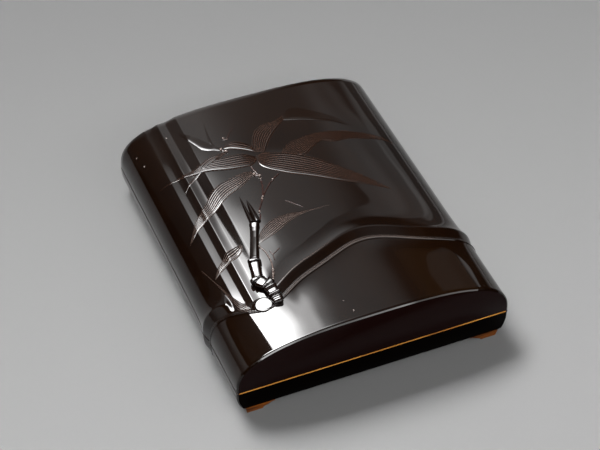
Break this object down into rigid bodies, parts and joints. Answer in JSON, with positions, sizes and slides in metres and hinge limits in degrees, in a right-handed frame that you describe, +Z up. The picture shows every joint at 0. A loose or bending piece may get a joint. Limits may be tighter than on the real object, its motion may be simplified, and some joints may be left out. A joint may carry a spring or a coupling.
{
  "type": "writing box",
  "caption": "Low lidded writing box shaped as a split length of bamboo stem, hollow inside, with a carved branch, leaves and flutes on its arched lid, on bracket feet.",
  "frame": {"origin": "on the ground, under the centre of the box", "axes": "+X across the stem to the right as seen from the front end, +Y along the stem towards the back end, +Z up"},
  "size_m": [0.2046, 0.244, 0.0647],
  "materials": {
    "lacquer": "glossy dark brown-black lacquer, polished, worn on the edges",
    "wood": "bare amber wood, satin, rough on the feet"
  },
  "bodies": {
    "root": {"lid": "lacquer", "base": "lacquer", "lip_frame": "wood", "foot_front_left": "wood", "foot_front_right": "wood", "foot_back_left": "wood", "foot_back_right": "wood"}
  },
  "joints": []
}
